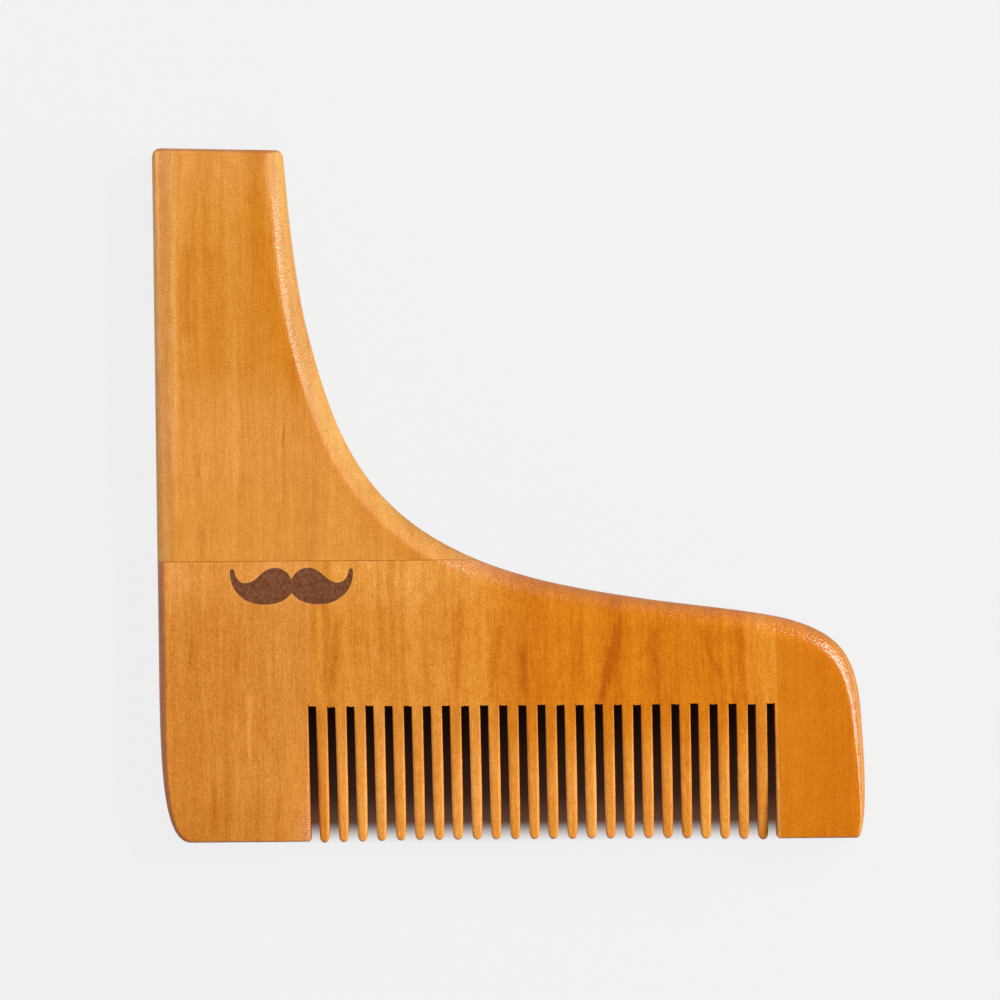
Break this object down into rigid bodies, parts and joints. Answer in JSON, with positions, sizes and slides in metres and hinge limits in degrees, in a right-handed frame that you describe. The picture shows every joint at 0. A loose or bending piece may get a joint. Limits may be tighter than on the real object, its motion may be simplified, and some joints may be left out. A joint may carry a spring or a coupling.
{
  "type": "beard comb",
  "caption": "L-shaped wooden beard-shaping comb: tapering arm and toothed row joined by a sweeping inside curve, with thinned teeth and rounded edges.",
  "frame": {"origin": "centre of the bounding box on the underside, so the comb lies flat on z = 0", "axes": "+X along the toothed row from the heel to the end block, +Y up the arm, +Z out of the front face"},
  "size_m": [0.108, 0.1062, 0.01],
  "materials": {
    "arm_wood": "satin oiled fruitwood, yellow-orange, upright grain",
    "heel_wood": "satin oiled fruitwood, pinker orange, upright grain",
    "tooth_wood": "satin oiled fruitwood with darker figure, upright grain",
    "end_wood": "satin oiled fruitwood, deeper orange, upright grain",
    "dried_glue": "thin dark line of dried wood glue"
  },
  "bodies": {
    "root": {"arm_block": "arm_wood", "heel_block": "heel_wood", "tooth_block": "tooth_wood", "end_block": "end_wood", "arm_joint_glue": "dried_glue", "heel_joint_glue": "dried_glue", "end_joint_glue": "dried_glue"}
  },
  "joints": []
}
